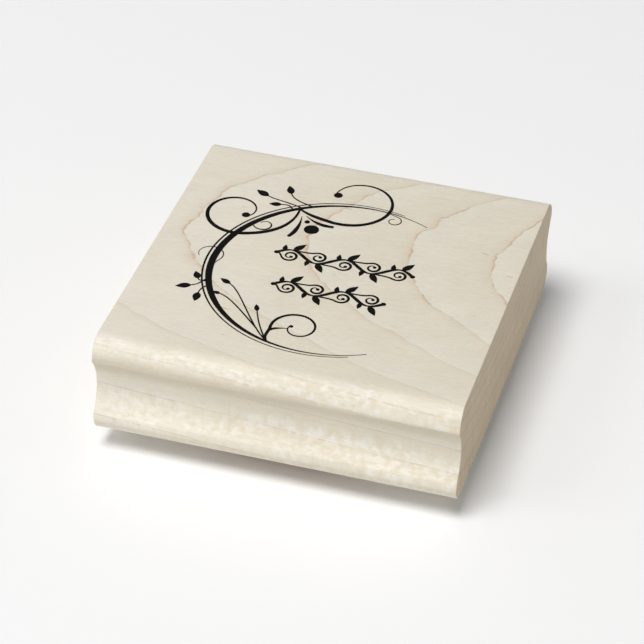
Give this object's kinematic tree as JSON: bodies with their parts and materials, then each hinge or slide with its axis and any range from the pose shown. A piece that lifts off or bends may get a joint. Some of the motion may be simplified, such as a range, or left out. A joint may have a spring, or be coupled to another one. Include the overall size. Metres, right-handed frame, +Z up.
{
  "type": "wood-mounted rubber stamp",
  "caption": "Hand stamp: moulded maple block with finger coves, an ink index of a leafy crescent wreath on top, and under it a foam cushion and an engraved rubber die.",
  "frame": {"origin": "centre of the block's outline, on the plane of the die's printing face, which is what the stamp stands on", "axes": "+Z up through the index print; +Y to the back of the artwork, across the grain and the finger coves; X along the grain, from one saw-cut end to the other"},
  "size_m": [0.0636, 0.0676, 0.0231],
  "materials": {
    "maple": "matte",
    "index_ink": "matte",
    "adhesive": "gloss",
    "foam": "matte",
    "die_rubber": "satin"
  },
  "bodies": {
    "block": {"wood_block": "maple", "index_print_wreath": "index_ink", "index_print_rows": "index_ink", "block_adhesive_film": "adhesive", "foam_cushion": "foam"},
    "die": {"die_adhesive_film": "adhesive", "rubber_die": "die_rubber"}
  },
  "joints": [
    {"name": "cushion_press", "type": "slide", "parent": "block", "child": "die", "axis": [0, 0, 1], "range_m": [0, 0.0004], "stiffness_N_per_m": 20000, "springref_m": -0.00002, "deforming": ["foam_cushion"]}
  ]
}
